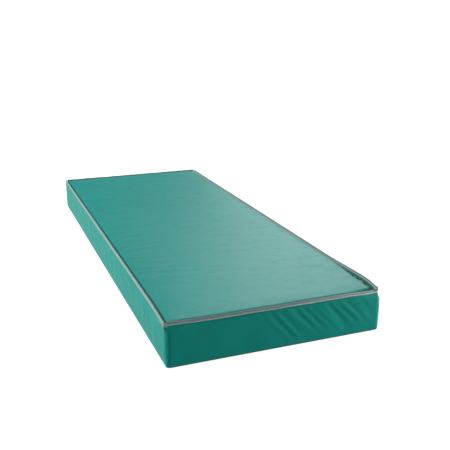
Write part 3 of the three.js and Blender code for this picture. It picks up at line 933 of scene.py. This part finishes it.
def make_zip(mat):
    """Each half of the zip: its tape, and the coil row on it."""
    for name, half in ZIP_HALVES.items():
        side, body = half["side"], half["body"]
        strip = tape_strip(side, half["flange_z"], half["flange_inset"])
        tape = make_mesh(f"zip_tape_sewn_{name}", *strip, mat["zip"], sharp_angle=40)
        place(tape, body, "zip_tape", f"zip_tape_{name}")
        coil = make_mesh(f"zip_coil_{name}", *coil_row(side), mat["coil"])
        place(coil, body, "zip_tape")


def make_zip_end_tabs(mat):
    """A flap at each end of the zip, sewn to the base. It closes the corner between the base and the
    upper cover, and its end is tucked in behind the zip's stop."""
    radius, bottom, top = 0.0115, 0.0016, 0.0206
    x, y = HALF_X - CORNER_RADIUS, HALF_Y - CORNER_RADIUS
    turn = np.radians(np.linspace(0, 56, 9))
    straight = np.array([(x + radius, y - 0.006), (x + radius, y - 0.003)])
    tuck = np.array([(0.0052, 0.0074), (0.0050, 0.0088), (0.0042, 0.0094), (0.0, 0.0094)])
    plan = np.concatenate([
        straight,
        points_from(x + radius * np.cos(turn), y + radius * np.sin(turn)),
        points_from(CHAIN_END_X + tuck[:, 0], HALF_Y - tuck[:, 1]),
    ])
    length = distance_along(plan)
    s, z = np.meshgrid(length, np.linspace(bottom, top, 9))
    slack = 0.0004 * np.sin(math.pi * (z - bottom) / (top - bottom)) * np.sin(math.pi * s / length[-1])
    for name, sign in (("head", 1), ("foot", -1)):
        points = points_from(plan[:, 0] - slack, sign * (plan[:, 1] - slack), z)
        obj = make_mesh(f"zip_end_tab_{name}", points, grid_faces(*s.shape, flip=sign < 0), mat["side"],
                        uv=points_from(s, z))
        solidify(obj, INNER_PLY)
        place(obj, "core_and_base", "cover_fabric")


def finish_metal(mat):
    """The slider, pull and stops keep their CAD shape, with softened edges."""
    for name in ("zip_slider", "zip_pull", "zip_stop_head", "zip_stop_foot"):
        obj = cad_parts[name]
        obj.data.materials.clear()
        obj.data.materials.append(mat["metal"])
        modifier = obj.modifiers.new("edges", "BEVEL")
        modifier.width = 0.00018
        modifier.segments = 2
        modifier.limit_method = "ANGLE"


# ---------------- foam core


def foam_box(low, high, radius, cells, crown=0.0):
    """A rounded block from low to high, with a slightly crowned top. cells gives the grid of its
    faces, one number for each axis."""
    low, high = np.array(low, float), np.array(high, float)
    half, centre = (high - low) / 2, (high + low) / 2
    places = []
    for axis in range(3):
        edge = np.array([0, 0.3, 0.7]) * radius
        inner = np.linspace(-half[axis] + radius, half[axis] - radius, cells[axis] + 1)
        places.append(np.concatenate([-half[axis] + edge, inner, (half[axis] - edge)[::-1]]))
    parts = []
    for axis in range(3):
        first, second = (axis + 1) % 3, (axis + 2) % 3
        for sign in (-1, 1):
            a, b = np.meshgrid(places[first], places[second], indexing="ij")
            flat = np.zeros((*a.shape, 3))
            flat[..., first], flat[..., second], flat[..., axis] = a, b, sign * half[axis]
            parts.append((flat.reshape(-1, 3), grid_faces(*a.shape, flip=sign > 0)))
    points, faces = joined(parts)
    core = np.clip(points, -(half - radius), half - radius)
    away = points - core
    away /= np.maximum(np.linalg.norm(away, axis=1, keepdims=True), 1e-9)
    points = core + away * radius
    share = np.clip(points[:, 2] / half[2], 0, 1) ** 4
    dome = np.cos(points[:, 0] / half[0] * math.pi / 2) * np.cos(points[:, 1] / half[1] * math.pi / 2)
    points[:, 2] += share * crown * (dome - 1)
    return points + centre, faces


def weld(obj):
    """Joins the points that meet along the edges of a block's faces."""
    modifier = obj.modifiers.new("weld", "WELD")
    modifier.merge_threshold = 1e-6


def make_slab(mat):
    """The firm slab under everything, its long sides slightly wavy from the cutting."""
    low, high = (CORE_LEFT, -CORE_HALF_Y, CORE_BOTTOM), (CORE_RIGHT, CORE_HALF_Y, SLAB_TOP)
    points, faces = foam_box(low, high, 0.003, (40, 100, 4))
    points[:, 0] -= 0.0004 * ripples(points[:, 1], points[:, 2], 41, 0.3) * np.sign(points[:, 0])
    obj = make_mesh("foam_slab", points, faces, mat["firm"])
    weld(obj)
    place(obj, "core_and_base", "firm_foam", "base_foam")


def rail_section():
    """Section of an edge rail, in (outward, up) pairs: a big round at its outer top edge, and small
    ones elsewhere."""
    bottom = SLAB_TOP + FOAM_GAP
    small = 0.003

    def round_corner(o, z, radius, start):
        angle = np.radians(np.linspace(start, start + 90, 9))
        return points_from(o + radius * np.cos(angle), z + radius * np.sin(angle))

    return np.concatenate([
        round_corner(-RAIL_EDGE_RADIUS, CORE_TOP - RAIL_EDGE_RADIUS, RAIL_EDGE_RADIUS, 0),
        round_corner(-RAIL_WIDTH + small, CORE_TOP - small, small, 90),
        round_corner(-RAIL_WIDTH + small, bottom + small, small, 180),
        round_corner(-small, bottom + small, small, 270),
    ])


def make_rails(mat):
    """The long rails run from end to end, and the short ones lie between them."""
    taper = 0.002
    inset = RAIL_WIDTH + FOAM_GAP + taper
    y = np.linspace(-CORE_HALF_Y + taper, CORE_HALF_Y - taper, 120)
    x = np.linspace(CORE_LEFT + inset, CORE_RIGHT - inset, 60)
    lines = {
        "left": (points_from(CORE_LEFT, y[::-1], 0), (-1, 0, 0)),
        "right": (points_from(CORE_RIGHT, y, 0), (1, 0, 0)),
        "foot": (points_from(x, -CORE_HALF_Y, 0), (0, -1, 0)),
        "head": (points_from(x[::-1], CORE_HALF_Y, 0), (0, 1, 0)),
    }
    for name, (path, out) in lines.items():
        rail = sweep(path, out, rail_section(), taper)
        obj = make_mesh(f"foam_rail_{name}", *rail, mat["rail"], sharp_angle=50)
        place(obj, "core_and_base", "rail_foam", f"rail_{name}")


def make_inserts(mat):
    """Soft inserts: a block whose top is cut into separate, slightly crowned cells."""
    x0, x1 = CORE_LEFT + RAIL_WIDTH + FOAM_GAP, CORE_RIGHT - RAIL_WIDTH - FOAM_GAP
    y = -CORE_HALF_Y + RAIL_WIDTH + FOAM_GAP
    bottom, split = SLAB_TOP + FOAM_GAP, CORE_TOP - GROOVE_DEPTH
    for name, zone in INSERTS.items():
        y0, y1 = y, y + zone["length"]
        parts = [foam_box((x0, y0, bottom), (x1, y1, split), 0.002, (20, 20, 3))]
        xs = np.linspace(x0, x1, zone["across"] + 1)
        ys = np.linspace(y0, y1, zone["along"] + 1)
        half = GROOVE_WIDTH / 2
        for i in range(zone["across"]):
            for j in range(zone["along"]):
                low = (xs[i] + (half if i else 0), ys[j] + (half if j else 0), split - 0.004)
                high = (xs[i + 1] - (half if i + 1 < zone["across"] else 0),
                        ys[j + 1] - (half if j + 1 < zone["along"] else 0), CORE_TOP)
                parts.append(foam_box(low, high, 0.007, (8, 8, 3), 0.004))
        obj = make_mesh(f"foam_{name}", *joined(parts), mat["soft"])
        weld(obj)
        place(obj, "core_and_base", "soft_foam", name)
        y = y1 + FOAM_GAP


# ---------------- studio


def make_camera():
    data = bpy.data.cameras.new("camera")
    data.sensor_width = 36
    data.lens = CAMERA_LENS
    camera = bpy.data.objects.new("camera", data)
    camera.location = CAMERA_PLACE
    camera.rotation_euler = (math.radians(90 - CAMERA_DOWN), 0, math.radians(-CAMERA_RIGHT))
    bpy.context.scene.collection.objects.link(camera)
    bpy.context.scene.camera = camera


def soft_box(name, azimuth, elevation, distance, size, power):
    """A square light that faces the mattress."""
    data = bpy.data.lights.new(name, "AREA")
    data.shape = "SQUARE"
    data.size = size
    data.energy = power
    light = bpy.data.objects.new(name, data)
    a, e = math.radians(azimuth), math.radians(elevation)
    level = distance * math.cos(e)
    light.location = (level * math.sin(a), level * math.cos(a), distance * math.sin(e))
    light.rotation_euler = (math.radians(90) - e, 0, math.pi - a)
    bpy.context.scene.collection.objects.link(light)


def make_world():
    """A pale sweep: white at the horizon and dimmer overhead."""
    world = bpy.data.worlds.new("studio")
    bpy.context.scene.world = world
    world.use_nodes = True
    tree = world.node_tree
    coordinate = tree.nodes.new("ShaderNodeTexCoord")
    split = tree.nodes.new("ShaderNodeSeparateXYZ")
    fall = tree.nodes.new("ShaderNodeMapRange")
    for key, value in {"From Min": 0.04, "From Max": 0.16, "To Min": 1.05, "To Max": 0.22}.items():
        fall.inputs[key].default_value = value
    tree.links.new(coordinate.outputs["Generated"], split.inputs[0])
    tree.links.new(split.outputs["Z"], fall.inputs["Value"])
    tree.links.new(fall.outputs["Result"], tree.nodes["Background"].inputs["Strength"])
    tree.nodes["Background"].inputs["Color"].default_value = rgb(1.0, 1.0, 1.0)


def make_studio():
    """World, lights and floor."""
    bpy.context.scene.view_settings.view_transform = "Standard"
    make_world()
    for name, values in LIGHTS.items():
        soft_box(name, **values)
    line = np.linspace(-FLOOR_HALF, FLOOR_HALF, 9)
    x, y = np.meshgrid(line, line)
    points = points_from(x, y, FLOOR_Z)
    floor = make_mesh("floor", points, grid_faces(*x.shape), studio_floor("studio_floor"))


# ---------------- scene

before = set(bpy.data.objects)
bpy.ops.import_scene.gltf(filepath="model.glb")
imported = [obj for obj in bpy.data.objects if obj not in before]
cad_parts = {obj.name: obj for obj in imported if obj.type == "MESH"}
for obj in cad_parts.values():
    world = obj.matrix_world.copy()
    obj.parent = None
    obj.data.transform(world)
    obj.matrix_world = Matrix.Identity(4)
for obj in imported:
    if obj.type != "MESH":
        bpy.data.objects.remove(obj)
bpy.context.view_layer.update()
make_camera()
make_studio()
mat = make_materials()

make_base(mat)
make_slab(mat)
make_rails(mat)
make_inserts(mat)
make_zip(mat)
make_zip_end_tabs(mat)
finish_metal(mat)
make_top(mat)
make_border("foot", mat, BORDER_BOTTOM, foot_folds)
make_border("left", mat, BORDER_BOTTOM, left_folds)
make_border("head", mat, HEAD_BORDER_BOTTOM, long_folds(51))
make_border("right", mat, RIGHT_BORDER_BOTTOM, long_folds(61), hem=False)
for trim_side, trim_end in TRIM_ENDS.items():
    make_piping(trim_side, mat, trim_end)
    make_binding(trim_side, mat, trim_end)
    make_seam_allowance(trim_side, mat, trim_end - SEAM_END_CUT)
make_corner_tab(mat)
make_trim_stitches(mat)
make_fold_seam(mat)
